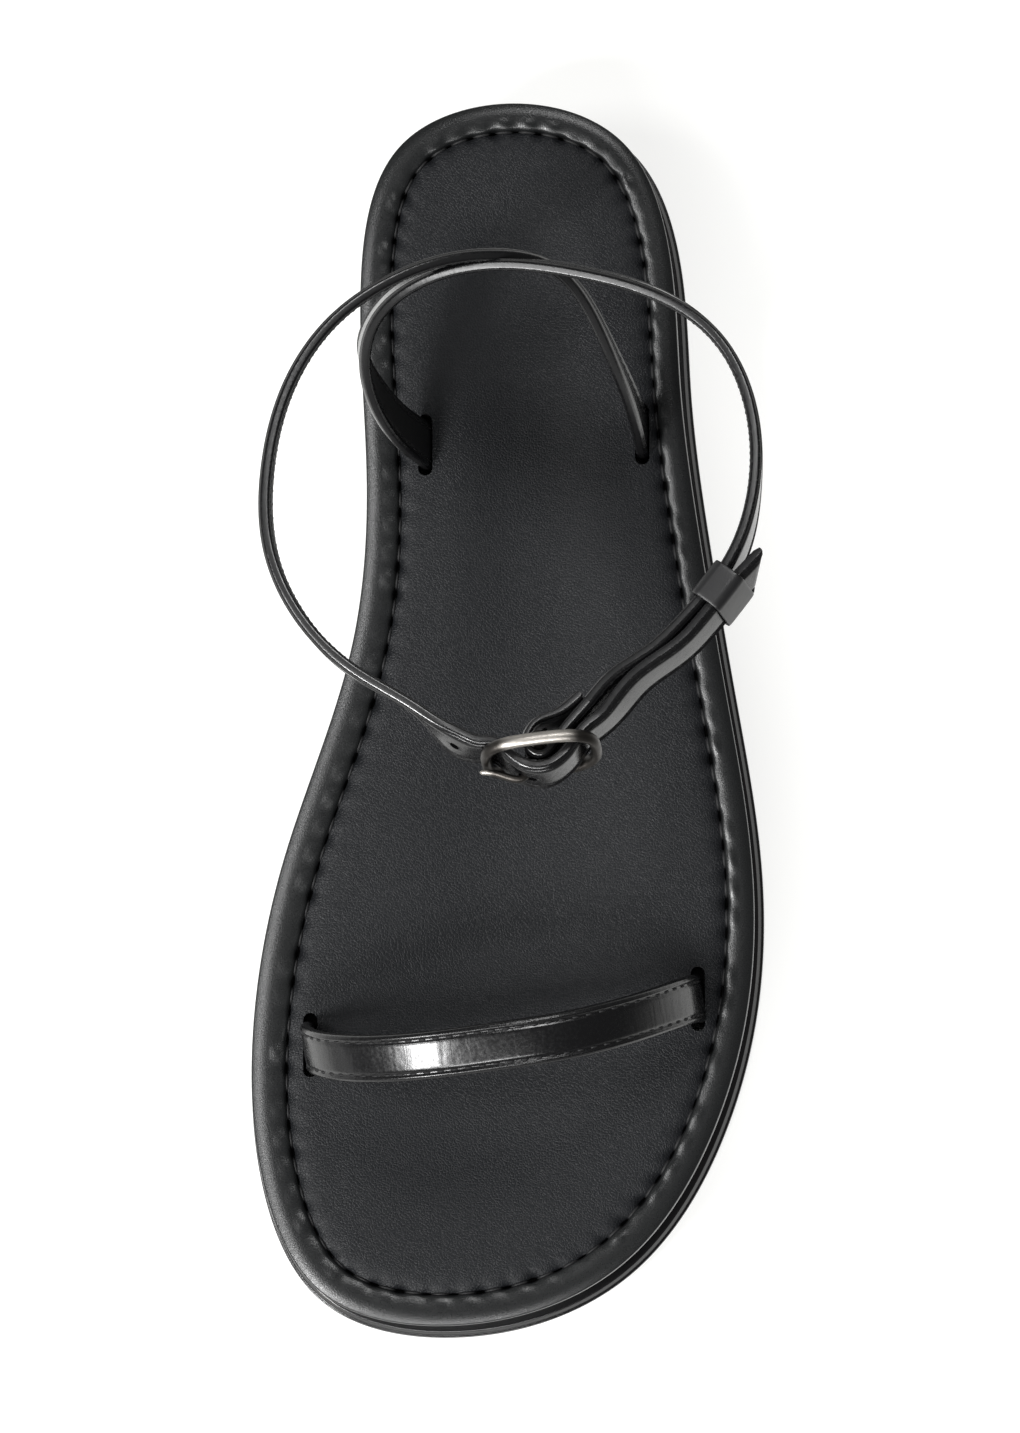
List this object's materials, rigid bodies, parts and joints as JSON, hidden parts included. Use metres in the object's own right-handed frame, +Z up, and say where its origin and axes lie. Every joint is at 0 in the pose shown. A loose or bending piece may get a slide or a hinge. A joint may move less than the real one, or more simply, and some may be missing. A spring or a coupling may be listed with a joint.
{
  "type": "platform sandal",
  "caption": "Black leather platform sandal for the left foot, with a padded footbed, an arched toe strap and crossed heel straps that buckle round the ankle.",
  "frame": {"origin": "on the floor under the sole, at the middle of its length", "axes": "+X towards the outer (little toe) side, +Y towards the heel, +Z up"},
  "size_m": [0.1073, 0.2515, 0.1122],
  "materials": {
    "outsole_rubber": "matt black sheet rubber",
    "wrap_leather": "satin black smooth leather",
    "footbed_leather": "soft matt black fine-grained leather",
    "strap_leather": "polished black leather",
    "aged_nickel": "aged nickel"
  },
  "bodies": {
    "root": {"outsole": "outsole_rubber", "platform": "wrap_leather", "footbed": "footbed_leather", "toe_strap": "strap_leather", "ankle_straps": "strap_leather", "keeper": "strap_leather", "buckle_frame": "aged_nickel", "buckle_prong": "aged_nickel"}
  },
  "joints": []
}
